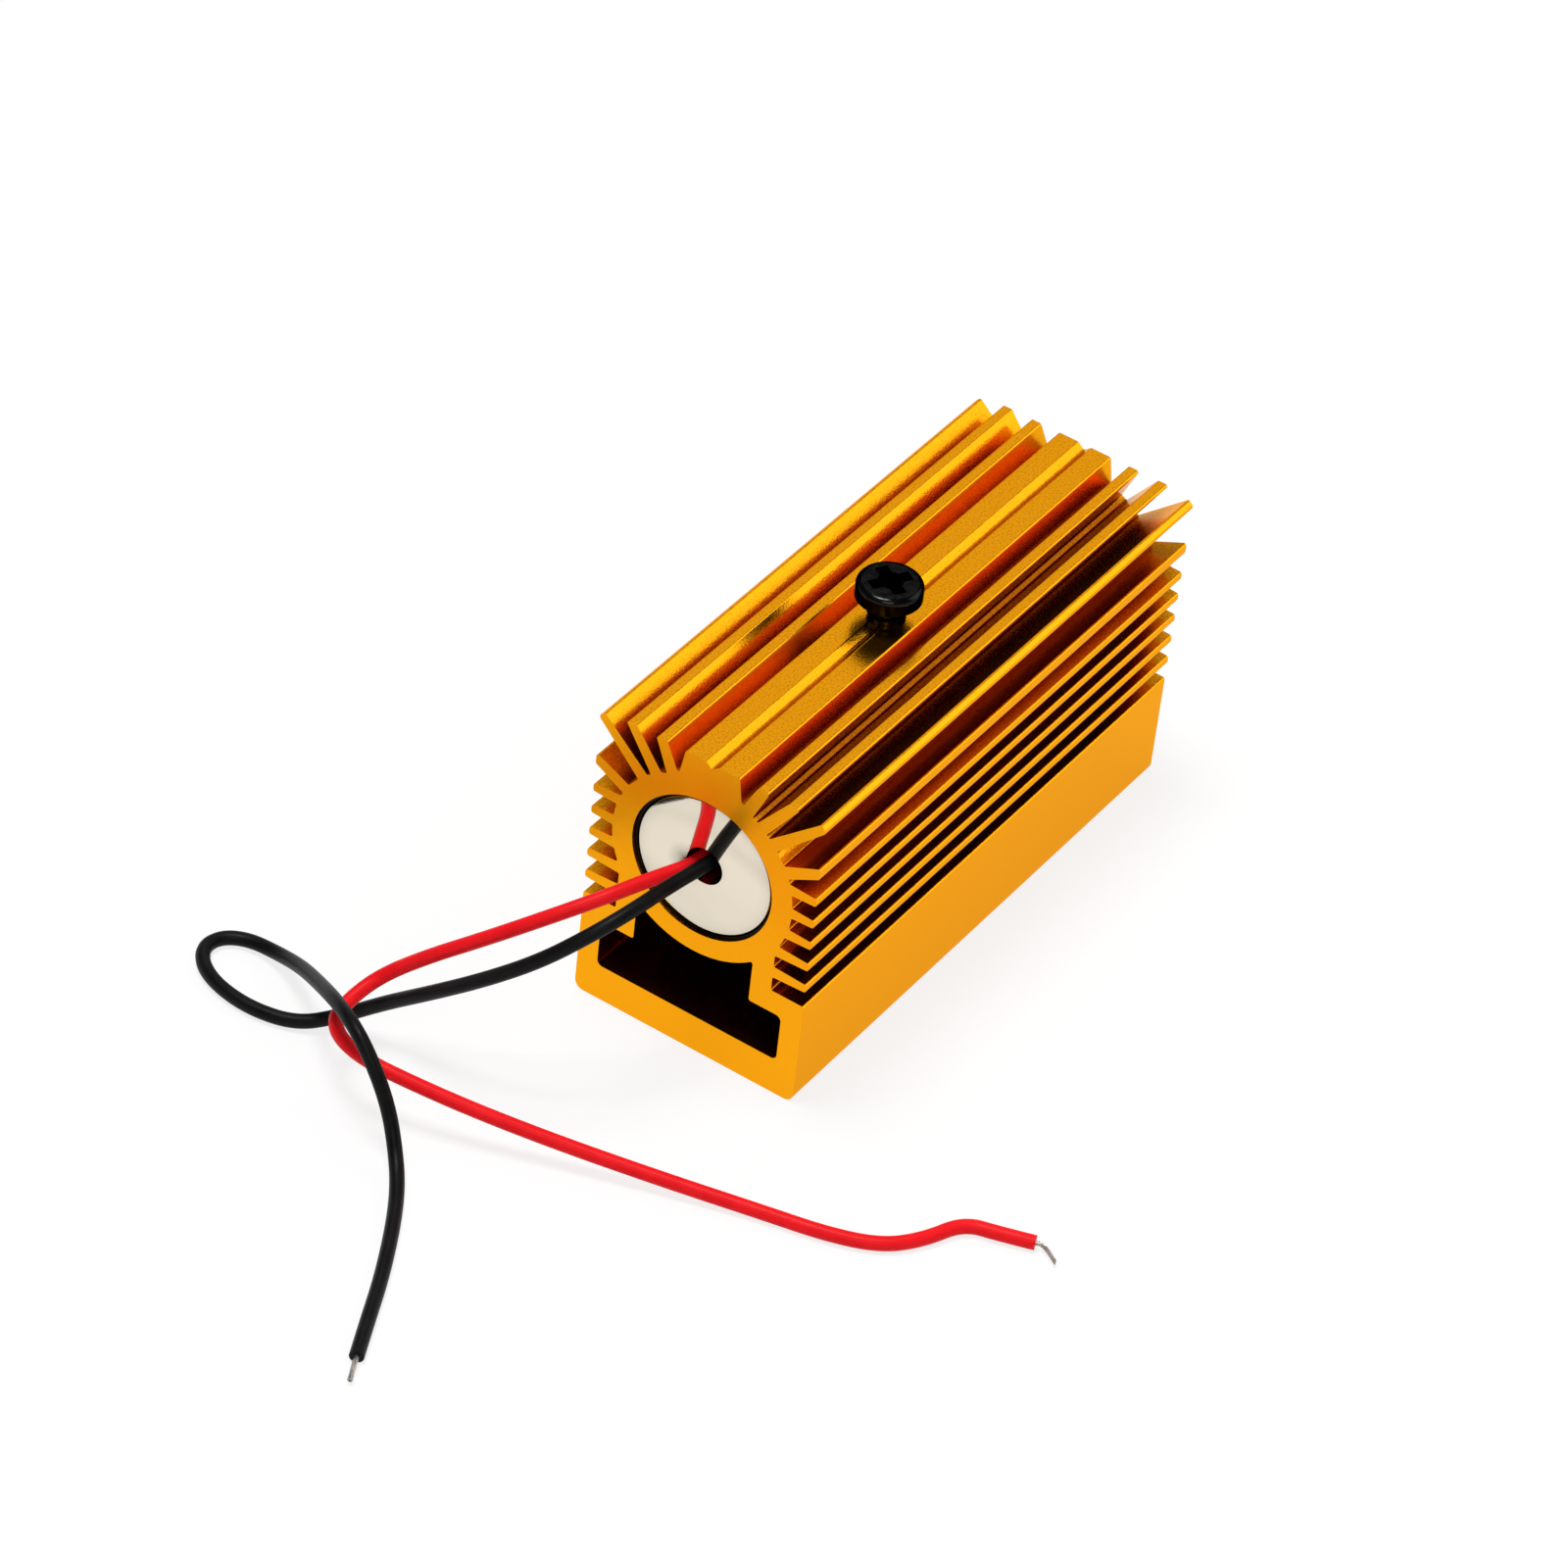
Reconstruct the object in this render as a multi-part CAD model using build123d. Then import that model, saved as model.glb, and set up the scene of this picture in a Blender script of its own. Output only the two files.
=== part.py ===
from build123d import *
from math import hypot, radians, tan
import os

# Millimetres. The base stands on z = 0 and the beam leaves along +Y, so the leads come out at the -Y end.

# Heat sink extrusion: a slotted base, a bored tube set in it, and fins round the tube
sink_width = 20.0
sink_length = 50.0
base_corner = 0.8
tube_wall = 1.8
tube_set = 0.15
web_set = 1.0

# T-slot channel along the base
channel_floor = 3.25
channel_height = 4.3
channel_wall = 1.8
channel_corner = 0.5
lip_thickness = 2.05
neck_wall = 1.8

# Fins, thick at the root and thin at the tip
fin_root = 1.15
fin_tip = 0.72
side_fin_count = 5
side_fin_pitch = 2.1
low_fin_rise = 1.8
fan_angles = (27.0, 43.5, 54.0, 65.5)
corner_trim = 0.76
root_round = 0.15
tip_round = 0.2

# Centre rib with its groove
rib_height = 1.95
rib_top_width = 4.8
rib_root_width = 5.8
groove_width = 1.2
groove_depth = 0.5

# Clamp screw, plain at the core of its thread, with its head standing proud of the rib
screw_y = -2.5
screw_diameter = 3.0
thread_depth = 0.25
screw_point = 0.4
head_standoff = 1.85
head_diameter = 5.2
head_height = 1.55
head_round = 0.55
head_rim = 0.12
recess_span = 3.4
recess_width = 1.05
recess_core = 2.1
recess_depth = 1.1
recess_taper = 12.0
recess_turn = 60.0

# Fits between pieces
bore_clearance = 0.05
seat_gap = 0.02
fit_gap = 0.03

# Module barrel in its thin insulating sleeve, and its rear cap
barrel_diameter = 12.0
barrel_wall = 0.8
sleeve_wall = 0.2
front_step = 0.4
end_recess = 0.36
nose_chamfer = 0.4
cap_flange = 1.5
cap_spigot = 2.0
cap_chamfer = 0.15
wire_hole = 3.2

# Canned laser diode in its holder
holder_length = 6.0
header_diameter = 5.6
header_thickness = 1.2
header_depth = 2.2
can_flange_diameter = 4.3
can_flange_thickness = 0.3
can_clearance = 0.15
can_diameter = 3.55
can_height = 2.3
can_wall = 0.25
window_hole = 1.6
window_thickness = 0.25
submount_width = 1.0
submount_height = 0.8
submount_length = 1.3
chip_width = 0.3
chip_height = 0.12
chip_length = 0.6
pin_diameter = 0.45
pin_circle = 2.0
monitor_pin_length = 2.0

# Collimator
focus_gap = 6.0
cell_length = 8.5
cell_wall = 1.8
cell_rim = 1.3
nose_recess = 2.0
flare_depth = 1.6
key_slot_width = 1.2
key_slot_depth = 0.9
lens_edge = 1.2
lens_crown = 0.8
lens_seat = 0.6
lens_seat_depth = 5.0
retainer_length = 1.4
retainer_wall = 0.7

# Driver board and the rows of parts on it, from the diode's pins to the leads
board_length = 17.0
board_thickness = 1.0
board_edge_gap = 0.5
board_gap = 1.0
pin_lap = 2.5
part_gap = 0.4
part_sizes = {
    "sense_resistor": (3.2, 1.6, 0.6),
    "output_capacitor": (3.2, 1.6, 1.3),
    "driver_chip": (3.0, 3.0, 1.0),
    "input_capacitor": (3.5, 2.8, 1.9),
    "polarity_diode": (2.7, 1.6, 1.1),
}
board_rows = [
    ["sense_resistor", "output_capacitor"],
    ["driver_chip"],
    ["input_capacitor", "polarity_diode"],
]
chip_foot = (0.95, 0.3, 0.3)
chip_foot_pitch = 0.65
chip_feet_a_side = 4
joint_spread = 3.8
joint_diameter = 1.8
joint_top = 0.9
joint_height = 1.0

# Leads, from the solder joints out through the cap; they run on the table where z is 0.6
lead_room = 5.0
lead_diameter = 1.15
core_diameter = 0.4
core_strip = 1.6
tip_straight = 0.7
arc_share = 0.45

red_route = [
    (-1.9, -16.2, 17.84), (-1.5, -18.6, 17.7), (-0.85, -21.3, 17.4), (-0.62, -24.3, 17.27),
    (-2.45, -27.9, 17.0), (-4.15, -31.5, 16.6), (-6.9, -34.7, 15.2), (-10.8, -36.7, 12.25),
    (-14.6, -38.1, 9.3), (-17.7, -39.3, 6.5), (-18.6, -41.8, 5.5), (-18.4, -44.3, 5.2),
    (-16.7, -45.7, 5.1), (-14.2, -45.9, 4.65), (-10.9, -45.2, 4.1), (-6.0, -43.8, 3.2), (0.4, -41.5, 2.0),
    (8.2, -38.8, 1.05), (15.2, -36.6, 0.6), (20.3, -35.4, 0.6), (24.0, -33.8, 0.6), (26.0, -31.3, 0.6),
    (27.3, -28.0, 0.6), (30.0, -27.2, 0.6), (32.5, -26.3, 0.6),
]
red_tip_end = (34.7, -27.0, 0.5)
black_route = [
    (1.9, -16.2, 17.84), (1.5, -18.6, 17.8), (0.7, -21.3, 17.65), (0.3, -24.4, 17.58),
    (-0.6, -28.2, 17.6), (-1.2, -32.4, 17.5), (-2.7, -35.5, 16.3), (-5.2, -37.7, 14.0),
    (-8.9, -38.9, 10.9), (-13.3, -39.2, 7.2), (-17.6, -39.2, 3.6), (-20.7, -40.5, 1.3),
    (-23.0, -42.4, 0.6), (-26.4, -43.3, 0.6), (-29.8, -43.0, 0.6), (-32.3, -41.9, 0.6),
    (-33.6, -40.2, 0.6), (-33.2, -38.4, 0.6), (-31.4, -37.3, 0.6), (-28.5, -37.4, 0.9),
    (-25.2, -39.1, 2.7), (-21.4, -42.0, 5.25), (-17.4, -45.2, 7.9), (-14.2, -47.1, 8.3),
    (-12.05, -47.7, 6.35), (-10.3, -48.2, 3.9), (-8.9, -49.1, 1.7), (-6.9, -51.25, 0.6),
    (-4.55, -54.9, 0.6), (-1.9, -59.85, 0.6), (0.0, -64.05, 0.6), (1.5, -67.25, 0.6),
]
black_tip_end = (2.5, -69.35, 0.5)

# The extrusion's heights and widths, worked out from the sizes above
channel_width = sink_width - 2 * channel_wall
channel_roof = channel_floor + channel_height
base_height = channel_roof + lip_thickness
sleeve_diameter = barrel_diameter + 2 * sleeve_wall
bore_diameter = sleeve_diameter + 2 * bore_clearance
tube_radius = bore_diameter / 2 + tube_wall
web_width = 2 * (tube_radius - web_set)
neck_width = web_width - 2 * neck_wall
bore_height = base_height - tube_set + tube_radius
sink_height = bore_height + tube_radius + rib_height

# Bores, holes and heights of the module, which lies on the bottom of the bore
barrel_bore = barrel_diameter - 2 * barrel_wall
front_bore = barrel_bore - 2 * front_step
flare_diameter = front_bore - 2 * cell_rim
lens_diameter = front_bore - 2 * cell_wall
aperture_diameter = lens_diameter - 2 * lens_seat
retainer_hole = lens_diameter - 2 * retainer_wall
can_hole = can_flange_diameter + 2 * can_clearance
window_diameter = can_diameter - 2 * can_wall
board_width = barrel_bore - 2 * board_edge_gap
module_axis = bore_height - bore_clearance + seat_gap
board_top = module_axis - pin_diameter / 2
screw_point_z = module_axis + sleeve_diameter / 2 + seat_gap
screw_length = sink_height + head_standoff - screw_point_z
core_radius = screw_diameter / 2 - thread_depth

# Places along the module, from the cap to the nose
rear_y = -sink_length / 2 + end_recess
barrel_rear_y = rear_y + cap_flange
spigot_end_y = barrel_rear_y + cap_spigot
board_rear_y = spigot_end_y + lead_room
board_front_y = board_rear_y + board_length
holder_rear_y = board_front_y + board_gap
shoulder_y = holder_rear_y + holder_length
header_front_y = shoulder_y - header_depth
header_rear_y = header_front_y - header_thickness
cell_rear_y = shoulder_y + focus_gap
cell_front_y = cell_rear_y + cell_length
front_y = cell_front_y + nose_recess
lens_front_y = cell_front_y - lens_seat_depth
lens_rear_y = lens_front_y - lens_edge
pin_length = header_rear_y - board_front_y + pin_lap
joint_y = board_rear_y + joint_diameter / 2 + part_gap

# Pieces stand on their lower face
on_foot = (Align.CENTER, Align.CENTER, Align.MIN)


def slab(width, bottom, top):
    """A rectangle of the cross-section, centred on the part, between two heights."""
    return Pos(0, (bottom + top) / 2) * Rectangle(width, top - bottom)


def tapered_fin(root, reach):
    """A fin of the cross-section along +X."""
    corners = [(root, fin_root / 2), (root, -fin_root / 2), (reach, -fin_tip / 2), (reach, fin_tip / 2)]
    return make_face(Polyline(*corners, close=True))


def sink_section():
    """The extrusion's cross-section, drawn with x across and y up."""
    bore_axis = Pos(0, bore_height)
    base = slab(sink_width, 0, base_height)
    base = fillet(base.vertices().group_by(Axis.Y)[0], base_corner)
    channel = slab(channel_width, channel_floor, channel_roof)
    channel = fillet(channel.vertices(), channel_corner)
    section = base + slab(web_width, base_corner, bore_height)
    section -= channel
    section -= slab(neck_width, (channel_floor + channel_roof) / 2, bore_height)
    section += bore_axis * Circle(tube_radius)

    fins = []
    for row in range(side_fin_count):
        height = base_height + low_fin_rise + row * side_fin_pitch
        fins.append(Pos(0, height) * tapered_fin(web_width / 2 - fin_root, sink_width / 2))
    fan_reach = hypot(sink_width / 2, sink_height - bore_height)
    for angle in fan_angles:
        fins.append(bore_axis * Rot(0, 0, angle) * tapered_fin(tube_radius - fin_root, fan_reach))
    for fin in fins:
        section += fin
        section += mirror(fin, Plane.YZ)

    rib_root = bore_height + tube_radius - fin_root
    rib = [
        (-rib_root_width / 2, rib_root), (rib_root_width / 2, rib_root),
        (rib_top_width / 2, sink_height), (-rib_top_width / 2, sink_height),
    ]
    section += make_face(Polyline(*rib, close=True))

    envelope = slab(sink_width, 0, sink_height)
    envelope = chamfer(envelope.vertices().group_by(Axis.Y)[-1], corner_trim)
    section = section & envelope
    section -= bore_axis * Circle(bore_diameter / 2)
    groove_side = groove_width / 2
    groove = [(-groove_side, sink_height), (0, sink_height - groove_depth), (groove_side, sink_height)]
    section -= make_face(Polyline(*groove, close=True))

    # The die rounds every inner corner, then every outer one
    for step in (root_round, -root_round, -tip_round, tip_round):
        section = offset(section, step, kind=Kind.ARC)
    return section


def make_heat_sink():
    """The extrusion, sawn to length, with a tapped hole through its rib."""
    body = Pos(0, sink_length / 2, 0) * Rot(90, 0, 0) * extrude(sink_section(), sink_length)
    hole = Cylinder(core_radius + fit_gap, sink_height - bore_height, align=on_foot)
    return body - Pos(0, screw_y, bore_height) * hole


def make_clamp_screw():
    """A pan-head screw with a crossed recess, its point on the sleeve."""
    head = head_diameter / 2
    top = screw_length + head_height
    with BuildLine() as side:
        Polyline((0, 0), (core_radius - screw_point, 0), (core_radius, screw_point),
                 (core_radius, screw_length), (head - head_rim, screw_length),
                 (head, screw_length + head_rim), (head, top - head_round))
        RadiusArc((head, top - head_round), (head - head_round, top), -head_round)
        Polyline((head - head_round, top), (0, top), (0, 0))
    blank = revolve(Plane.XZ * make_face(side.line), Axis.Z)
    wing = Rectangle(recess_span, recess_width)
    cross = wing + Rot(0, 0, 90) * wing + RegularPolygon(recess_core / 2, 8)
    recess = extrude(Rot(0, 0, recess_turn) * cross, -recess_depth, taper=recess_taper)
    return Pos(0, screw_y, screw_point_z) * (blank - Pos(0, 0, top) * recess)


def turned(outline):
    """A piece turned about the module axis from (radius, y) corners."""
    face = make_face(Polyline(*outline, close=True))
    return Pos(0, 0, module_axis) * revolve(face, Axis.Y)


def make_rear_cap():
    """The polished end disc, with a spigot in the barrel and the wire hole through both."""
    radius = barrel_diameter / 2
    spigot = barrel_bore / 2 - fit_gap
    hole = wire_hole / 2
    return turned([
        (hole, rear_y), (radius - cap_chamfer, rear_y), (radius, rear_y + cap_chamfer),
        (radius, barrel_rear_y), (spigot, barrel_rear_y), (spigot, spigot_end_y), (hole, spigot_end_y),
    ])


def make_module_barrel():
    """The barrel: a wide rear bore for the board and a smaller front bore for the lens cell."""
    radius = barrel_diameter / 2
    return turned([
        (barrel_bore / 2, barrel_rear_y), (radius, barrel_rear_y), (radius, front_y - nose_chamfer),
        (radius - nose_chamfer, front_y), (front_bore / 2, front_y), (front_bore / 2, shoulder_y),
        (barrel_bore / 2, shoulder_y),
    ])


def make_diode_holder():
    """The bush against the barrel's shoulder, counterbored for the diode's header."""
    radius = barrel_bore / 2 - fit_gap
    counterbore = header_diameter / 2 + fit_gap
    return turned([
        (counterbore, holder_rear_y), (radius, holder_rear_y), (radius, shoulder_y),
        (can_hole / 2, shoulder_y), (can_hole / 2, header_front_y), (counterbore, header_front_y),
    ])


def disc(diameter, hole, rear, front):
    """A plain disc or ring about the module axis."""
    outer = diameter / 2
    inner = hole / 2
    return turned([(inner, rear), (outer, rear), (outer, front), (inner, front)])


def make_diode_can():
    """The flanged can welded on the header, open at its window."""
    flange_top = header_front_y + can_flange_thickness
    top = header_front_y + can_height
    radius = can_diameter / 2
    return turned([
        (radius - can_wall, header_front_y), (can_flange_diameter / 2, header_front_y),
        (can_flange_diameter / 2, flange_top), (radius, flange_top), (radius, top), (window_hole / 2, top),
        (window_hole / 2, top - can_wall), (radius - can_wall, top - can_wall),
    ])


def make_diode_window():
    """The glass disc sealed under the can's opening."""
    front = header_front_y + can_height - can_wall
    return disc(window_diameter - 2 * fit_gap, 0, front - window_thickness, front)


def block(size, place):
    """A box that stands on a place, centred in x and y."""
    return Pos(*place) * Box(*size, align=on_foot)


def make_diode_submount():
    """The block on the header that carries the laser chip on the axis."""
    place = (0, header_front_y + submount_length / 2, module_axis - chip_height / 2 - submount_height)
    return block((submount_width, submount_length, submount_height), place)


def make_diode_chip():
    """The laser chip, flush with the front of its submount."""
    place = (0, header_front_y + submount_length - chip_length / 2, module_axis - chip_height / 2)
    return block((chip_width, chip_length, chip_height), place)


def make_pin(x, rise, length):
    """A diode leg that runs back from the header."""
    pin = Rot(90, 0, 0) * Cylinder(pin_diameter / 2, length, align=on_foot)
    return Pos(x, header_rear_y, module_axis + rise) * pin


def make_lens_cell():
    """The threaded cell with its flared aperture and the two notches for a key."""
    radius = front_bore / 2 - fit_gap
    lens_hole = lens_diameter / 2 + fit_gap
    aperture = aperture_diameter / 2
    body = turned([
        (lens_hole, cell_rear_y), (radius, cell_rear_y), (radius, cell_front_y),
        (flare_diameter / 2, cell_front_y), (aperture, cell_front_y - flare_depth), (aperture, lens_front_y),
        (lens_hole, lens_front_y),
    ])
    slot = Box(front_bore, 2 * key_slot_depth, key_slot_width)
    return body - Pos(0, cell_front_y, module_axis) * slot


def make_collimating_lens():
    """A plano-convex lens with a flat rim that seats in the cell."""
    radius = lens_diameter / 2
    crown = aperture_diameter / 2 - fit_gap
    crown_radius = (crown ** 2 + lens_crown ** 2) / (2 * lens_crown)
    crown_top = lens_front_y + lens_crown
    with BuildLine() as side:
        Polyline((0, crown_top), (0, lens_rear_y), (radius, lens_rear_y), (radius, lens_front_y),
                 (crown, lens_front_y))
        RadiusArc((crown, lens_front_y), (0, crown_top), -crown_radius)
    return Pos(0, 0, module_axis) * revolve(make_face(side.line), Axis.Y)


def make_driver_board():
    """The board under the two long pins."""
    place = (0, (board_front_y + board_rear_y) / 2, board_top - board_thickness)
    return block((board_width, board_length, board_thickness), place)


def board_places():
    """Where each part stands on the board: row behind row from the pins, alone or side by side."""
    places = {}
    row_front = board_front_y - pin_lap - part_gap
    for row in board_rows:
        depth = max(part_sizes[name][1] for name in row)
        sides = [0] if len(row) == 1 else [-1, 1]
        for name, side in zip(row, sides):
            x = side * (part_sizes[name][0] + part_gap) / 2
            places[name] = (x, row_front - depth / 2, board_top)
        row_front -= depth + part_gap
    return places


def add_feet(body, place):
    """The regulator's two rows of feet, one on each side of its moulded body."""
    x, y, z = place
    reach = (part_sizes["driver_chip"][0] + chip_foot[0]) / 2
    for row in range(chip_feet_a_side):
        along = (row - (chip_feet_a_side - 1) / 2) * chip_foot_pitch
        for across in (-reach, reach):
            body += block(chip_foot, (x + across, y + along, z))
    return body


def lead_core(route):
    """The bared core at the inner end of a lead, which reaches into its solder joint."""
    return Pos(*route[0]) * Rot(-90, 0, 0) * Cylinder(core_diameter / 2, core_strip, align=on_foot)


def make_joint(x, route):
    """A cone of solder on the pad, round the bared core."""
    cone = Cone(joint_diameter / 2, joint_top / 2, joint_height, align=on_foot)
    return Pos(x, joint_y, board_top) * cone - lead_core(route)


def tube(route, diameter, name):
    """A tube along straight runs joined by the largest arcs that the runs allow."""
    points = [Vector(*point) for point in route]
    radii = []
    for before, here, after in zip(points, points[1:], points[2:]):
        turn = (here - before).get_angle(after - here)
        shorter = min((here - before).length, (after - here).length)
        radii.append(arc_share * shorter / tan(radians(turn) / 2))
    path = FilletPolyline(*points, radius=radii)
    solid = sweep(Plane(path @ 0, z_dir=path % 0) * Circle(diameter / 2), path=path)
    filled = solid.volume / (Circle(diameter / 2).area * path.length)
    print(name, "length", round(path.length, 1), "volume to section times length", round(filled, 4))
    print("  radii", [round(radius, 1) for radius in radii])
    return solid


def make_lead(route, name):
    """A lead from its solder joint to the end of its insulation."""
    return tube(route, lead_diameter, name) + lead_core(route)


def make_tip(route, end, name):
    """The stripped core at the free end, bent a little from the lead's line."""
    start = Vector(*route[-1])
    along = (start - Vector(*route[-2])).normalized()
    points = [start, start + along * tip_straight, Vector(*end)]
    return tube(points, core_diameter, name)


lens_ring_rear_y = lens_rear_y - retainer_length
nodes = {
    "heat_sink": make_heat_sink(),
    "clamp_screw": make_clamp_screw(),
    "module_sleeve": disc(sleeve_diameter, barrel_diameter + 2 * fit_gap, rear_y, front_y - nose_chamfer),
    "module_barrel": make_module_barrel(),
    "rear_cap": make_rear_cap(),
    "diode_holder": make_diode_holder(),
    "diode_header": disc(header_diameter, 0, header_rear_y, header_front_y),
    "diode_can": make_diode_can(),
    "diode_window": make_diode_window(),
    "diode_submount": make_diode_submount(),
    "diode_chip": make_diode_chip(),
    "anode_pin": make_pin(-pin_circle / 2, 0, pin_length),
    "cathode_pin": make_pin(pin_circle / 2, 0, pin_length),
    "monitor_pin": make_pin(0, pin_circle / 2, monitor_pin_length),
    "lens_cell": make_lens_cell(),
    "collimating_lens": make_collimating_lens(),
    "lens_retainer": disc(lens_diameter, retainer_hole, lens_ring_rear_y, lens_rear_y),
    "driver_board": make_driver_board(),
    "red_joint": make_joint(-joint_spread / 2, red_route),
    "black_joint": make_joint(joint_spread / 2, black_route),
    "red_lead": make_lead(red_route, "red_lead"),
    "black_lead": make_lead(black_route, "black_lead"),
    "red_lead_tip": make_tip(red_route, red_tip_end, "red_lead_tip"),
    "black_lead_tip": make_tip(black_route, black_tip_end, "black_lead_tip"),
}
for name, place in board_places().items():
    nodes[name] = block(part_sizes[name], place)
nodes["driver_chip"] = add_feet(nodes["driver_chip"], board_places()["driver_chip"])

os.makedirs("parts", exist_ok=True)
for name, solid in nodes.items():
    export_step(solid, f"parts/{name}.step")
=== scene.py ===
from math import cos, radians, sin, tau

import bpy
from mathutils import Matrix, Vector


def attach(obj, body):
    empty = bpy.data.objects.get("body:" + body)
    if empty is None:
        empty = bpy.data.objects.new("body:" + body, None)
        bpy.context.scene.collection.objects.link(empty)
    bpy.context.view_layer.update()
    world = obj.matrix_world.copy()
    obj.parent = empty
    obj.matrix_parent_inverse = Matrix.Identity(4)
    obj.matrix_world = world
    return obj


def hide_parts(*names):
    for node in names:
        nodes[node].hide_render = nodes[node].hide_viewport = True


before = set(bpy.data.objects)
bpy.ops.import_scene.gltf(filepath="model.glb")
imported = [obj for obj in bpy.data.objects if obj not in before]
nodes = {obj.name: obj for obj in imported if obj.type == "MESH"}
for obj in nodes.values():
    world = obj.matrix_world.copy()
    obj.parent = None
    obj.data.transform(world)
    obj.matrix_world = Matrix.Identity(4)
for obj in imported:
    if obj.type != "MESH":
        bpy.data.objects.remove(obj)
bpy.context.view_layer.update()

# Metres, in the CAD's frame: +Z up, the leads leave at the -Y end.
MM_PER_METRE = 1000

# Camera, placed so that the corners of the heat sink fall where the photograph has them
CAMERA_PLACE = (0.20118, -0.35934, 0.35658)
CAMERA_RIGHT = (0.81936, 0.56619, 0.08994)
CAMERA_DOWN = (0.42501, -0.49462, -0.75810)
CAMERA_FORWARD = (-0.38473, 0.65938, -0.64591)
SENSOR_WIDTH = 36.0
FOCAL_LENGTH = 162.0

# Leads
LEAD_DIAMETER = 0.00115
STRAND_DIAMETER = 0.00014
STRANDS = 6
STRAND_TWIST = radians(150)
TIP_STRAIGHT = 0.0007

RED_ROUTE = [
    (-0.0019, -0.0162, 0.01784), (-0.0017, -0.0186, 0.0177), (-0.00125, -0.0213, 0.0171),
    (-0.00090, -0.0243, 0.01697), (-0.00245, -0.0279, 0.0170), (-0.00415, -0.0315, 0.0166),
    (-0.0069, -0.0347, 0.0152), (-0.0108, -0.0367, 0.01225), (-0.0146, -0.0381, 0.0093),
    (-0.0177, -0.0393, 0.0065), (-0.0186, -0.0418, 0.0055), (-0.0184, -0.0443, 0.0052),
    (-0.0167, -0.0457, 0.0051), (-0.0142, -0.0459, 0.00465), (-0.0109, -0.0452, 0.0041),
    (-0.0060, -0.0438, 0.0032), (0.0004, -0.0415, 0.0020), (0.0082, -0.0388, 0.00105),
    (0.0152, -0.0366, 0.0006), (0.0203, -0.0354, 0.0006), (0.0240, -0.0338, 0.0006),
    (0.0260, -0.0313, 0.0006), (0.0273, -0.0280, 0.0006), (0.0300, -0.0272, 0.0006),
    (0.0325, -0.0263, 0.0006),
]
RED_TIP_END = (0.0347, -0.0270, 0.0005)

BLACK_ROUTE = [
    (0.0019, -0.0162, 0.01784), (0.0015, -0.0186, 0.0178), (0.0007, -0.0213, 0.01765),
    (0.0003, -0.0244, 0.01785), (-0.0006, -0.0282, 0.0176), (-0.0012, -0.0324, 0.0175),
    (-0.0027, -0.0355, 0.0163), (-0.0052, -0.0377, 0.0140), (-0.0089, -0.0389, 0.0109),
    (-0.0133, -0.0392, 0.0072), (-0.0176, -0.0392, 0.0036), (-0.0207, -0.0405, 0.0013),
    (-0.0230, -0.0424, 0.0006), (-0.0264, -0.0433, 0.0006), (-0.0298, -0.0430, 0.0006),
    (-0.0323, -0.0419, 0.0006), (-0.0336, -0.0402, 0.0006), (-0.0332, -0.0384, 0.0006),
    (-0.0314, -0.0373, 0.0006), (-0.0285, -0.0374, 0.0009), (-0.0252, -0.0391, 0.0027),
    (-0.0214, -0.0420, 0.00525), (-0.0174, -0.0452, 0.0079), (-0.0142, -0.0471, 0.0083),
    (-0.01205, -0.0477, 0.00635), (-0.0103, -0.0482, 0.0039), (-0.0089, -0.0491, 0.0017),
    (-0.0069, -0.05125, 0.0006), (-0.00455, -0.0549, 0.0006), (-0.0019, -0.05985, 0.0006),
    (0.0000, -0.06405, 0.0006), (0.0015, -0.06725, 0.0006),
]
BLACK_TIP_END = (0.0025, -0.06935, 0.0005)

# Fineness of a curve's round section, and of its run from point to point
SECTION_STEPS = 5
RUN_STEPS = 10

# Gold dye on the sawn ends and on open faces, and the painted shade deep in the slots
DYE_SAWN = (0.97, 0.39, 0.006)
DYE_OPEN = (0.91, 0.365, 0.006)
PAINTED_SLOT_SHADE = (0.18, 0.029, 0.0015)

# How far off a wall the painted slot shade reaches, and the painted light that makes an upright face in a
# slot lighter and a level one darker
SLOT_SHADE_REACH = 0.012
UPRIGHT_PAINTED_LIGHT = 1.4
LEVEL_PAINTED_LIGHT = 0.38

# How far the painted shade of the wire hole and of the bore's edge reaches on the cap
HOLE_SHADE_REACH = 0.0015
CAP_PAINTED_SHADE = (0.004, 0.004, 0.004)
CAP_BRIGHT = (0.80, 0.735, 0.60)

# Rays that look for walls round each point
OPENNESS_SAMPLES = 4

# Exposed stretch of the clamp screw's thread, between the rib and the head
SCREW_Y = -0.0025
THREAD_CORE = 0.0012
THREAD_CREST = 0.0015
THREAD_PITCH = 0.0005
THREAD_BOTTOM = 0.02760
THREAD_TOP = 0.02925
THREAD_STEPS = 48

# Half the ridge's width at its foot and at its crest, as shares of half a pitch
THREAD_FOOT_SHARE = 0.45
THREAD_CREST_SHARE = 0.1

# Floor: its side, its colour, the strength of its white and the share of that white where it is seen
FLOOR_SIZE = 6.0
FLOOR_WHITE = 0.85
FLOOR_STRENGTH = 1.05
FLOOR_GLOW = 0.75

# World: its light on things, and the heights between which the white horizon fades to it
WORLD_STRENGTH = 0.16
HORIZON_FADE = (0.06, 0.28)

# Softboxes: place, side and power in watts
LIGHT_TARGET = (0.0, 0.0, 0.015)
SOFTBOXES = {
    "back_right_box": ((0.46, 0.53, 0.42), 0.6, 1.7),
    "back_left_box": ((-0.31, 0.53, 0.54), 0.6, 0.8),
    "top_box": ((-0.10, -0.05, 0.65), 0.20, 2.8),
    "front_box": ((0.24, -0.42, 0.46), 0.3, 0.8),
}


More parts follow.
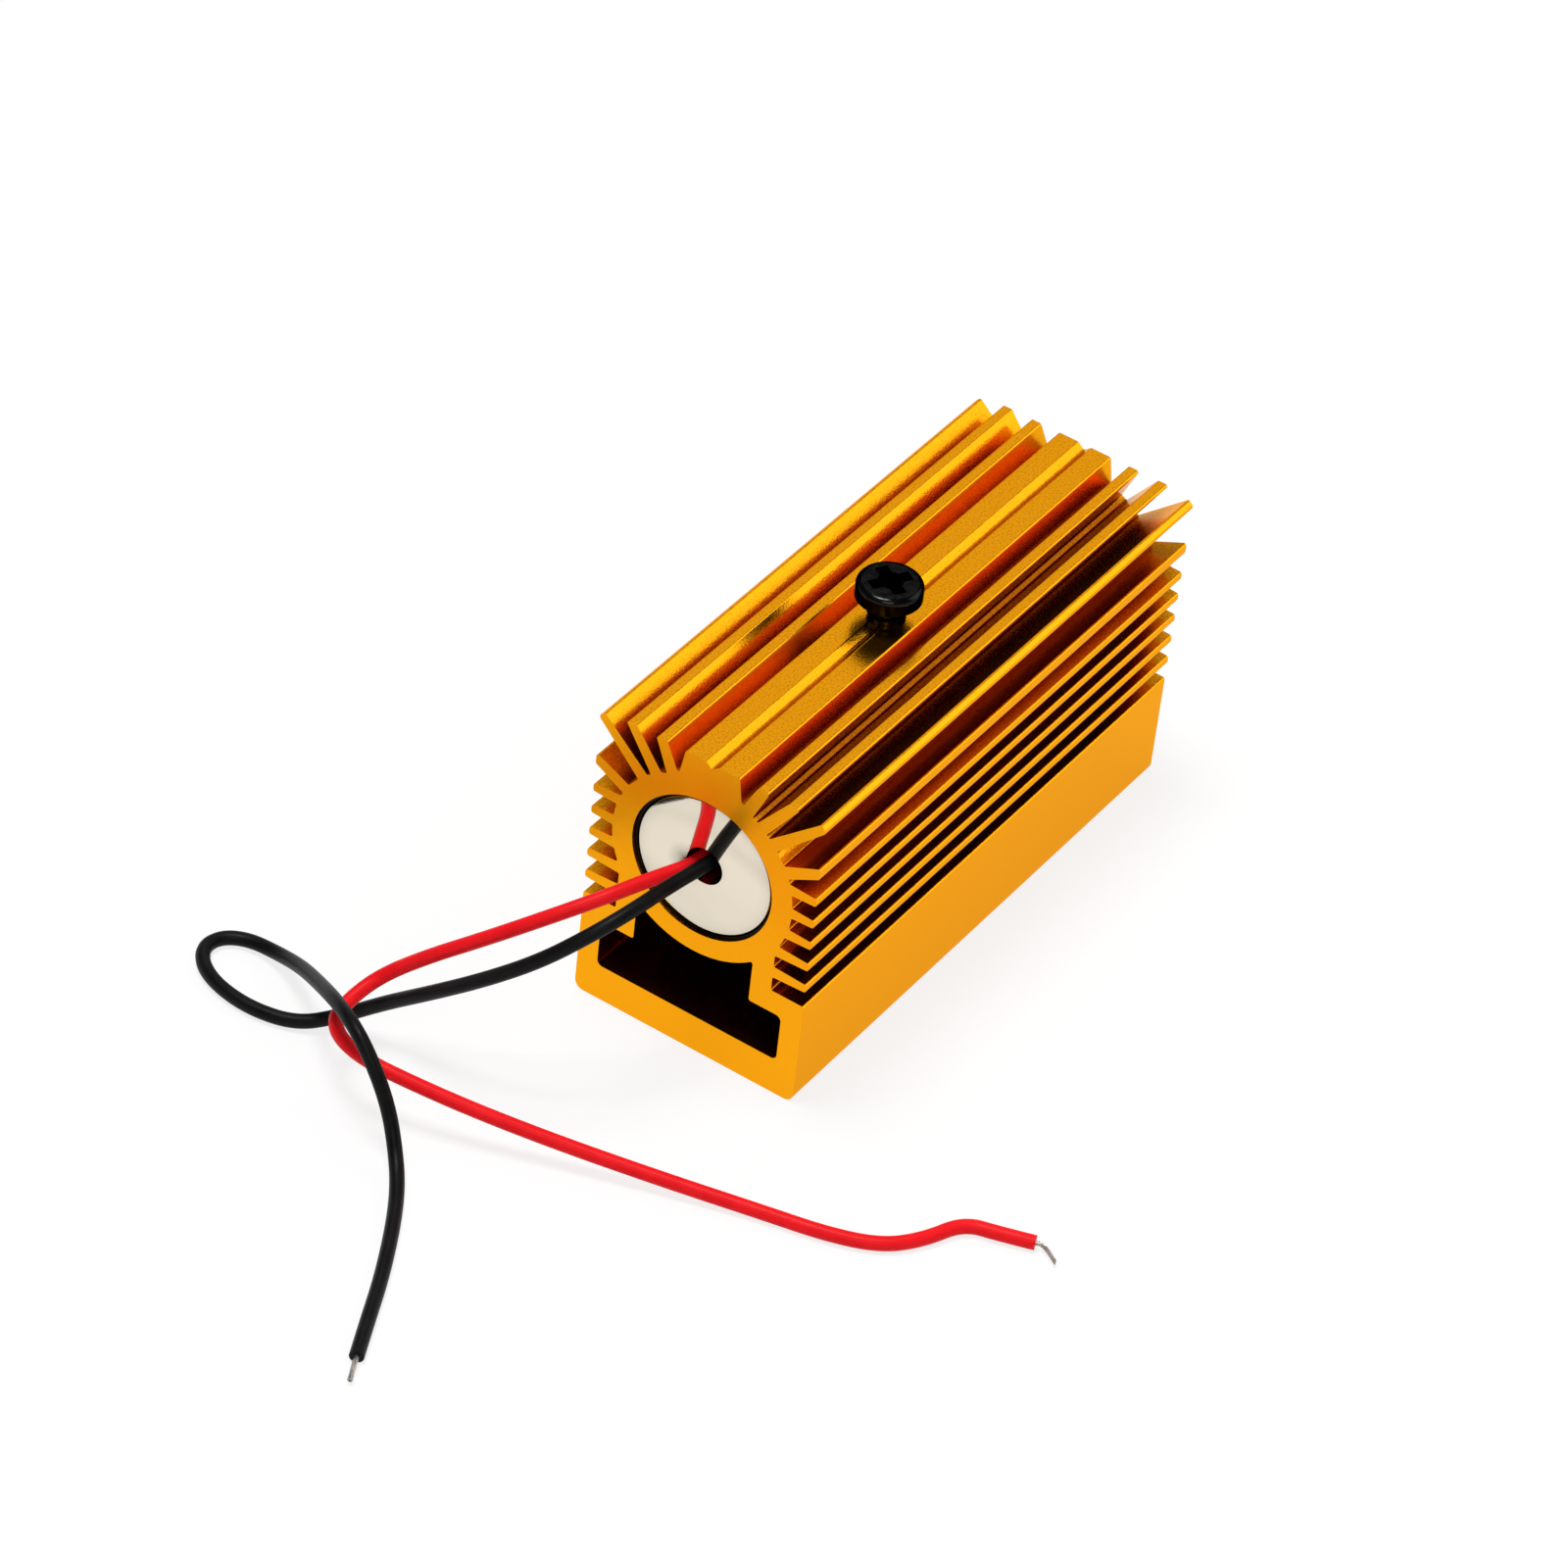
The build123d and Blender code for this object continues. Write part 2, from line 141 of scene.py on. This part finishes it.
class Finish:
    """A material round one Principled shader, with short ways to drive its sockets."""

    def __init__(self, name, **sockets):
        self.material = bpy.data.materials.new(name)
        self.material.use_nodes = True
        self.tree = self.material.node_tree
        self.shader = self.tree.nodes["Principled BSDF"]
        self.place = self.add("ShaderNodeTexCoord").outputs["Object"]
        self.relief = None
        self.set(self.shader, sockets)

    def set(self, node, sockets):
        """Sets sockets by name, with underscores for spaces; a socket as the value is linked."""
        for name, value in sockets.items():
            socket = node.inputs[name.replace("_", " ")]
            if isinstance(value, bpy.types.NodeSocket):
                self.tree.links.new(value, socket)
            else:
                socket.default_value = value

    def add(self, kind, **sockets):
        node = self.tree.nodes.new(kind)
        self.set(node, sockets)
        return node

    def noise(self, per_mm, detail=2.0, stretch=(1, 1, 1)):
        """Noise with about so many features in a millimetre, drawn out along an axis."""
        scale = tuple(MM_PER_METRE * per_mm / axis for axis in stretch)
        mapped = self.add("ShaderNodeMapping", Vector=self.place, Scale=scale)
        texture = self.add("ShaderNodeTexNoise", Vector=mapped.outputs["Vector"], Scale=1.0, Detail=detail)
        return texture.outputs["Fac"]

    def ramp(self, factor, low, high, start=0.35, end=0.65):
        """Goes from one colour or grey to another as the factor rises from start to end."""
        node = self.add("ShaderNodeValToRGB", Fac=factor)
        for stop, place, value in zip(node.color_ramp.elements, (start, end), (low, high)):
            stop.position = place
            stop.color = (*value, 1.0) if isinstance(value, tuple) else (value, value, value, 1.0)
        return node.outputs["Color"]

    def bump(self, height, depth, strength):
        """Adds relief of that depth in metres to what is there already."""
        node = self.add("ShaderNodeBump", Height=height, Distance=depth, Strength=strength)
        if self.relief is not None:
            self.set(node, {"Normal": self.relief})
        self.relief = node.outputs["Normal"]
        self.set(self.shader, {"Normal": self.relief})

    def shade(self, **sockets):
        self.set(self.shader, sockets)

    def openness(self, reach, own_walls=True):
        """One on open faces, falling towards nought deep between walls, its own or any."""
        node = self.add("ShaderNodeAmbientOcclusion", Distance=reach)
        node.only_local = own_walls
        node.samples = OPENNESS_SAMPLES
        return node.outputs["AO"]

    def facing(self, axis):
        """How far a face looks along an axis, from minus one to one."""
        normal = self.add("ShaderNodeNewGeometry").outputs["True Normal"]
        return self.add("ShaderNodeSeparateXYZ", Vector=normal).outputs[axis]

    def blend(self, factor, low, high):
        """Goes from one colour to another that both may vary over the surface."""
        node = self.add("ShaderNodeMixRGB", Fac=factor)
        for socket, value in zip((node.inputs[1], node.inputs[2]), (low, high)):
            if isinstance(value, bpy.types.NodeSocket):
                self.tree.links.new(value, socket)
            else:
                socket.default_value = (*value, 1.0)
        return node.outputs["Color"]

    def times(self, one, other):
        node = self.add("ShaderNodeMath")
        node.operation = "MULTIPLY"
        self.tree.links.new(one, node.inputs[0])
        self.tree.links.new(other, node.inputs[1])
        return node.outputs["Value"]


def anodised_gold():
    """Blasted and anodised aluminium, with shade painted into its colour: dark on the floors of the slots,
    lighter on upright faces than on level ones.
    """
    finish = Finish("anodised_gold", Metallic=1.0, Specular_Tint=(1.0, 0.77, 0.5, 1.0))
    grain = finish.noise(per_mm=6.0, detail=1.0)
    speckle = finish.ramp(grain, 0.6, 1.0)
    drawn = finish.noise(per_mm=2.5, detail=0.0, stretch=(1, 40, 1))
    sawn = finish.times(finish.facing("Y"), finish.facing("Y"))
    # Painted light: upright faces are painted lighter and level faces darker.
    painted_upright_light = finish.ramp(finish.facing("Z"), UPRIGHT_PAINTED_LIGHT, LEVEL_PAINTED_LIGHT, start=0.20, end=0.88)
    # Painted shade: the gold runs to dark brown where walls close round it, deepest in the slots; the
    # grain adds random speckle.
    grain_and_painted_light = finish.times(finish.times(finish.openness(SLOT_SHADE_REACH), painted_upright_light), speckle)
    dye_and_painted_shade = finish.ramp(grain_and_painted_light, PAINTED_SLOT_SHADE, DYE_OPEN, start=0.04, end=0.31)
    finish.shade(
        Base_Color=finish.blend(sawn, dye_and_painted_shade, DYE_SAWN),
        Roughness=finish.ramp(sawn, 0.21, 0.28, start=0.0, end=1.0),
    )
    finish.bump(drawn, depth=0.000012, strength=0.4)
    finish.bump(grain, depth=0.000030, strength=finish.ramp(sawn, 0.35, 0.2, start=0.0, end=1.0))
    return finish.material


def polished_metal():
    """A mirror with shade painted into its colour beside the wire hole and the bore's edge."""
    finish = Finish("polished_metal", Metallic=1.0)
    haze = finish.noise(per_mm=0.8, detail=4.0)
    scratch = finish.noise(per_mm=12.0, detail=1.0, stretch=(14, 1, 1))
    open_face = finish.openness(HOLE_SHADE_REACH, own_walls=False)
    # Painted shade: the cap's colour runs to black near the leads, the hole and the bore's wall.
    finish.shade(
        Base_Color=finish.ramp(open_face, CAP_PAINTED_SHADE, CAP_BRIGHT, start=0.55, end=0.85),
        Roughness=finish.ramp(haze, 0.02, 0.05),
    )
    finish.bump(scratch, depth=0.000001, strength=0.3)
    return finish.material


def turned_metal(name, dark, light, rough):
    """A turned or plated metal with fine rings round the module axis."""
    finish = Finish(name, Metallic=1.0)
    rings = finish.noise(per_mm=9.0, detail=1.0, stretch=(30, 1, 30))
    tone = finish.noise(per_mm=1.2, detail=3.0)
    finish.shade(
        Base_Color=finish.ramp(tone, dark, light),
        Roughness=finish.ramp(rings, rough * 0.8, rough * 1.2),
    )
    finish.bump(rings, depth=0.000004, strength=0.4)
    return finish.material


def black_oxide():
    """Blackened steel with a dull rim light."""
    finish = Finish("black_oxide", Metallic=1.0, Specular_Tint=(0.1, 0.1, 0.1, 1.0))
    patch = finish.noise(per_mm=2.0, detail=4.0)
    grain = finish.noise(per_mm=14.0, detail=2.0)
    finish.shade(
        Base_Color=finish.ramp(patch, (0.012, 0.012, 0.012), (0.020, 0.020, 0.020)),
        Roughness=finish.ramp(grain, 0.12, 0.22),
    )
    finish.bump(grain, depth=0.000008, strength=0.5)
    return finish.material


def insulation(name, dark, light):
    """Soft extruded plastic with a dull gloss."""
    finish = Finish(name, Specular_IOR_Level=0.1)
    tone = finish.noise(per_mm=0.5, detail=3.0)
    grain = finish.noise(per_mm=10.0, detail=2.0)
    finish.shade(Base_Color=finish.ramp(tone, dark, light), Roughness=finish.ramp(grain, 0.34, 0.48))
    finish.bump(grain, depth=0.000006, strength=0.4)
    return finish.material


def moulded(name, dark, light, rough):
    """Moulded, fired or coated parts on the board."""
    finish = Finish(name)
    tone = finish.noise(per_mm=3.0, detail=4.0)
    grain = finish.noise(per_mm=18.0, detail=2.0)
    finish.shade(
        Base_Color=finish.ramp(tone, dark, light),
        Roughness=finish.ramp(grain, rough * 0.8, rough * 1.2),
    )
    finish.bump(grain, depth=0.000008, strength=0.4)
    return finish.material


def clear_glass():
    finish = Finish("clear_glass", Transmission_Weight=1.0, IOR=1.52)
    tone = finish.noise(per_mm=0.6)
    finish.shade(
        Base_Color=finish.ramp(tone, (0.93, 0.97, 0.98), (0.97, 0.99, 1.0)),
        Roughness=finish.ramp(tone, 0.005, 0.02),
    )
    return finish.material


def paint(material, *names):
    """Gives CAD nodes that keep their shape a material of this scene."""
    for name in names:
        slots = nodes[name].data.materials
        slots.clear()
        slots.append(material)


def keep(piece, material):
    """Links a new piece, paints it and lets it ride with the object."""
    piece.data.materials.append(material)
    bpy.context.scene.collection.objects.link(piece)
    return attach(piece, "root")


def new_curve(name, diameter):
    """A round curve with closed ends and no run in it yet."""
    curve = bpy.data.curves.new(name, "CURVE")
    curve.dimensions = "3D"
    curve.bevel_depth = diameter / 2
    curve.bevel_resolution = SECTION_STEPS
    curve.use_fill_caps = True
    return curve


def add_spline(curve, points):
    """An open smooth run that starts and ends on the first and last points."""
    spline = curve.splines.new("NURBS")
    spline.points.add(len(points) - 1)
    for point, place in zip(spline.points, points):
        point.co = (*place, 1.0)
    spline.order_u = 3
    spline.use_endpoint_u = True
    spline.resolution_u = RUN_STEPS


def make_strands(name, route, end, material):
    """The stripped core: thin strands that twist round each other, out of the insulation."""
    start = Vector(route[-1])
    along = (start - Vector(route[-2])).normalized()
    line = [start - along * TIP_STRAIGHT, start, start + along * TIP_STRAIGHT, Vector(end)]
    side = along.cross((0, 0, 1)).normalized()
    up = side.cross(along)
    curve = new_curve(name, STRAND_DIAMETER)
    for strand in range(STRANDS):
        points = []
        for step, place in enumerate(line):
            angle = tau * strand / STRANDS + step * STRAND_TWIST / len(line)
            points.append(place + (side * cos(angle) + up * sin(angle)) * STRAND_DIAMETER)
        add_spline(curve, points)
    return keep(bpy.data.objects.new(name, curve), material)


def make_lead(name, route, end, cover, core):
    """A lead that follows its route, with the strands at its free end."""
    curve = new_curve(name + "_cover", LEAD_DIAMETER)
    add_spline(curve, route)
    piece = keep(bpy.data.objects.new(name + "_cover", curve), cover)
    strands = make_strands(name + "_strands", route, end, core)
    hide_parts(name)
    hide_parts(name + "_tip")


def make_screw_thread(material):
    """The ridge that winds round the screw where it stands out of the rib."""
    turns = (THREAD_TOP - THREAD_BOTTOM) / THREAD_PITCH
    steps = round(turns * THREAD_STEPS)
    section = [
        (THREAD_CORE, -THREAD_FOOT_SHARE), (THREAD_CREST, -THREAD_CREST_SHARE),
        (THREAD_CREST, THREAD_CREST_SHARE), (THREAD_CORE, THREAD_FOOT_SHARE),
    ]
    points = []
    faces = []
    for step in range(steps + 1):
        angle = tau * step / THREAD_STEPS
        middle = THREAD_BOTTOM + (THREAD_TOP - THREAD_BOTTOM) * step / steps
        for radius, rise in section:
            height = middle + rise * THREAD_PITCH / 2
            points.append((radius * cos(angle), SCREW_Y + radius * sin(angle), height))
    for step in range(steps):
        for corner in range(len(section)):
            here = step * len(section) + corner
            beside = step * len(section) + (corner + 1) % len(section)
            faces.append((here, here + len(section), beside + len(section), beside))
    faces.append(tuple(range(len(section))))
    faces.append(tuple(reversed(range(steps * len(section), (steps + 1) * len(section)))))
    mesh = bpy.data.meshes.new("screw_thread")
    mesh.from_pydata(points, [], faces)
    keep(bpy.data.objects.new("screw_thread", mesh), material)


def seen_rays(tree):
    """One for what the camera, metal and glass see, nought for the light that falls on things."""
    path = tree.nodes.new("ShaderNodeLightPath")
    total = path.outputs["Is Camera Ray"]
    for name in ("Is Glossy Ray", "Is Transmission Ray"):
        more = tree.nodes.new("ShaderNodeMath")
        more.operation = "MAXIMUM"
        tree.links.new(total, more.inputs[0])
        tree.links.new(path.outputs[name], more.inputs[1])
        total = more.outputs["Value"]
    return total


def make_floor():
    """White paper that glows a little where it is seen, and keeps the object's shadow."""
    bpy.ops.mesh.primitive_plane_add(size=FLOOR_SIZE)
    floor = bpy.context.object
    floor.name = "floor"
    material = bpy.data.materials.new("white_floor")
    material.use_nodes = True
    tree = material.node_tree
    tree.nodes.clear()
    paper = tree.nodes.new("ShaderNodeBsdfDiffuse")
    paper.inputs["Color"].default_value = (FLOOR_WHITE, FLOOR_WHITE, FLOOR_WHITE, 1.0)
    white = tree.nodes.new("ShaderNodeEmission")
    white.inputs["Strength"].default_value = FLOOR_STRENGTH
    grain_and_painted_light = tree.nodes.new("ShaderNodeMixShader")
    grain_and_painted_light.inputs["Fac"].default_value = FLOOR_GLOW
    tree.links.new(paper.outputs["BSDF"], grain_and_painted_light.inputs[1])
    tree.links.new(white.outputs["Emission"], grain_and_painted_light.inputs[2])
    floor_seen = tree.nodes.new("ShaderNodeMixShader")
    tree.links.new(seen_rays(tree), floor_seen.inputs["Fac"])
    tree.links.new(paper.outputs["BSDF"], floor_seen.inputs[1])
    tree.links.new(grain_and_painted_light.outputs["Shader"], floor_seen.inputs[2])
    output = tree.nodes.new("ShaderNodeOutputMaterial")
    tree.links.new(floor_seen.outputs["Shader"], output.inputs["Surface"])
    floor.data.materials.append(material)


def make_world():
    """Dim surroundings, which the camera, metal and glass see rise to white at the horizon."""
    world = bpy.data.worlds.new("studio")
    world.use_nodes = True
    tree = world.node_tree
    dim = tree.nodes["Background"]
    dim.inputs["Color"].default_value = (1.0, 1.0, 1.0, 1.0)
    dim.inputs["Strength"].default_value = WORLD_STRENGTH
    direction = tree.nodes.new("ShaderNodeTexCoord").outputs["Generated"]
    height = tree.nodes.new("ShaderNodeSeparateXYZ")
    tree.links.new(direction, height.inputs["Vector"])
    fade = tree.nodes.new("ShaderNodeValToRGB")
    tree.links.new(height.outputs["Z"], fade.inputs["Fac"])
    low, high = fade.color_ramp.elements
    low.position, high.position = HORIZON_FADE
    low.color = (1.0, 1.0, 1.0, 1.0)
    high.color = (WORLD_STRENGTH, WORLD_STRENGTH, WORLD_STRENGTH, 1.0)
    seen = tree.nodes.new("ShaderNodeBackground")
    tree.links.new(fade.outputs["Color"], seen.inputs["Color"])
    both = tree.nodes.new("ShaderNodeMixShader")
    tree.links.new(seen_rays(tree), both.inputs["Fac"])
    tree.links.new(dim.outputs["Background"], both.inputs[1])
    tree.links.new(seen.outputs["Background"], both.inputs[2])
    tree.links.new(both.outputs["Shader"], tree.nodes["World Output"].inputs["Surface"])
    bpy.context.scene.world = world


def make_softbox(name, place, side, power):
    """A square lamp that looks at the object."""
    light = bpy.data.lights.new(name, "AREA")
    light.shape = "SQUARE"
    light.size = side
    light.energy = power
    lamp = bpy.data.objects.new(name, light)
    lamp.location = place
    lamp.rotation_euler = (Vector(LIGHT_TARGET) - Vector(place)).to_track_quat("-Z", "Y").to_euler()
    bpy.context.scene.collection.objects.link(lamp)


def make_camera():
    data = bpy.data.cameras.new("camera")
    data.sensor_width = SENSOR_WIDTH
    data.lens = FOCAL_LENGTH
    camera = bpy.data.objects.new("camera", data)
    axes = (Vector(CAMERA_RIGHT), -Vector(CAMERA_DOWN), -Vector(CAMERA_FORWARD))
    camera.matrix_world = Matrix.Translation(CAMERA_PLACE) @ Matrix(axes).transposed().to_4x4()
    bpy.context.scene.collection.objects.link(camera)
    bpy.context.scene.camera = camera


tinned = turned_metal("tinned_copper", (0.40, 0.36, 0.33), (0.55, 0.51, 0.48), rough=0.35)
paint(anodised_gold(), "heat_sink")
oxide = black_oxide()
paint(oxide, "clamp_screw")
make_screw_thread(oxide)
paint(polished_metal(), "rear_cap")
# Near-black sleeve round the module: its colour, darker than black plastic, is partly painted shade for
# the gap between module and bore.
paint(insulation("shrunk_sleeve_painted_shade", (0.001, 0.001, 0.001), (0.003, 0.003, 0.003)), "module_sleeve")
paint(turned_metal("turned_aluminium", (0.60, 0.60, 0.61), (0.72, 0.72, 0.73), rough=0.28),
      "module_barrel")
paint(turned_metal("turned_brass", (0.66, 0.46, 0.17), (0.78, 0.57, 0.24), rough=0.25),
      "diode_holder", "lens_cell", "lens_retainer")
paint(turned_metal("gold_plate", (0.80, 0.55, 0.20), (0.90, 0.66, 0.28), rough=0.18),
      "diode_header", "diode_submount", "anode_pin", "cathode_pin", "monitor_pin")
paint(turned_metal("nickel_plate", (0.66, 0.64, 0.60), (0.76, 0.74, 0.70), rough=0.2), "diode_can")
paint(turned_metal("solder", (0.62, 0.62, 0.63), (0.74, 0.74, 0.75), rough=0.35),
      "red_joint", "black_joint")
paint(clear_glass(), "diode_window", "collimating_lens")
paint(moulded("bare_semiconductor", (0.05, 0.05, 0.07), (0.09, 0.09, 0.12), rough=0.2), "diode_chip")
paint(moulded("solder_mask", (0.010, 0.090, 0.028), (0.020, 0.130, 0.040), rough=0.35), "driver_board")
paint(moulded("black_epoxy", (0.012, 0.012, 0.012), (0.024, 0.024, 0.025), rough=0.55),
      "driver_chip", "sense_resistor", "polarity_diode")
paint(moulded("tantalum_case", (0.50, 0.25, 0.03), (0.60, 0.32, 0.05), rough=0.5), "input_capacitor")
paint(moulded("fired_ceramic", (0.32, 0.22, 0.12), (0.42, 0.30, 0.17), rough=0.45), "output_capacitor")

make_lead("red_lead", RED_ROUTE, RED_TIP_END,
          insulation("red_insulation", (0.88, 0.008, 0.013), (0.95, 0.011, 0.017)), tinned)
make_lead("black_lead", BLACK_ROUTE, BLACK_TIP_END,
          insulation("black_insulation", (0.003, 0.003, 0.0035), (0.006, 0.006, 0.0065)), tinned)

make_floor()
make_world()
for name, (place, side, power) in SOFTBOXES.items():
    make_softbox(name, place, side, power)
make_camera()
bpy.context.scene.view_settings.view_transform = "Standard"
